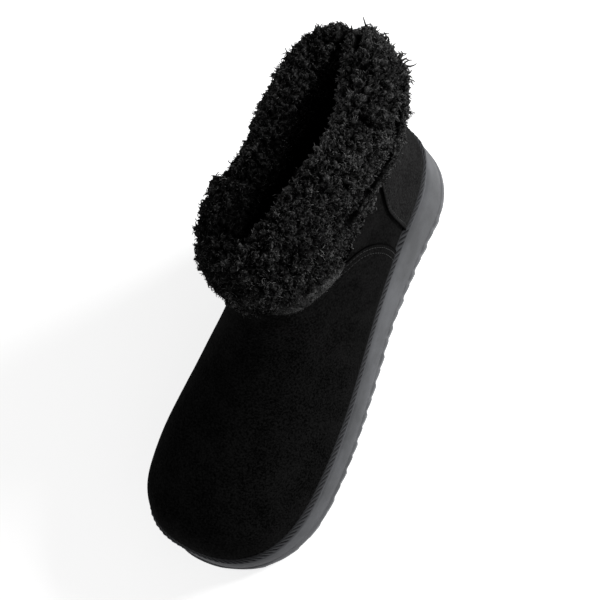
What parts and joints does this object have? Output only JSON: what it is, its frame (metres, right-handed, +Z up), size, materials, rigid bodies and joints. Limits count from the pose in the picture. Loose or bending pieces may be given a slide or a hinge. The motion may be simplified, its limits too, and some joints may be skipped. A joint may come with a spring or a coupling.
{
  "type": "ankle boot",
  "caption": "Left suede ankle boot with a thick turned-down fleece cuff and a ridged platform wedge sole.",
  "frame": {"origin": "on the floor, in the middle of the boot's bounding box", "axes": "+Z up, +Y from the heel towards the toe, +X to the wearer's right, which is the inner side of this left boot"},
  "size_m": [0.0974, 0.2757, 0.1714],
  "materials": {
    "outsole": "matte dark grey moulded rubber tread",
    "midsole": "matte mid-grey moulded foam wedge",
    "rand": "matte black ribbed rubber band",
    "upper": "black suede outside, black fleece inside",
    "heel_counter": "black suede overlay with a topstitched front edge",
    "insole": "black short fleece over foam",
    "cuff": "deep black curly fleece with grey tips"
  },
  "bodies": {
    "root": {"outsole": "outsole", "midsole": "midsole", "rand": "rand", "upper": "upper", "heel_counter": "heel_counter", "insole": "insole", "cuff": "cuff"}
  },
  "joints": []
}
